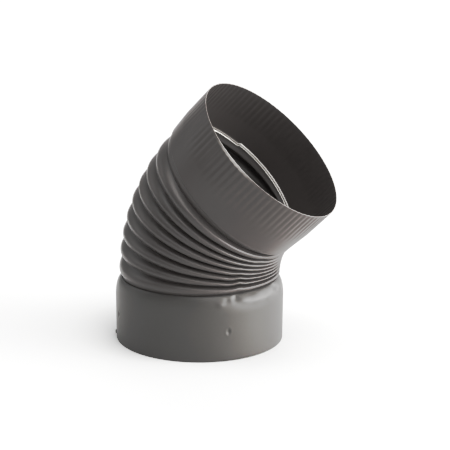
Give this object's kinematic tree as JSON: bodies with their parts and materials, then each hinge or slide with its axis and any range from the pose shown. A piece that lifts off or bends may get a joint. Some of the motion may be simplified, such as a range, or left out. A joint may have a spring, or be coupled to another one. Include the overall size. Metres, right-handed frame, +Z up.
{
  "type": "flue elbow",
  "caption": "Pleated sheet-steel flue elbow: a plain round socket at the foot, a bend of pressed folds, and a collar with a fluted rim that plugs into the next pipe.",
  "frame": {"origin": "centre of the lower mouth plane, on the axis of the lower socket", "axes": "+Z up the lower collar's axis; the elbow turns towards +X, with its bend in the XZ plane; +Y completes a right-handed frame"},
  "size_m": [0.199, 0.152, 0.2305],
  "materials": {
    "painted_sheet": "satin warm-anthracite stove paint on thin sheet steel",
    "painted_weld": "the same paint over a weld bead or a rivet head, slightly rougher"
  },
  "bodies": {
    "root": {"lower_collar": "painted_sheet", "pleated_bend": "painted_sheet", "upper_collar": "painted_sheet", "lower_seam_weld": "painted_weld", "bend_seam_weld": "painted_weld", "upper_seam_weld": "painted_weld", "foot_rivet": "painted_weld"}
  },
  "joints": []
}
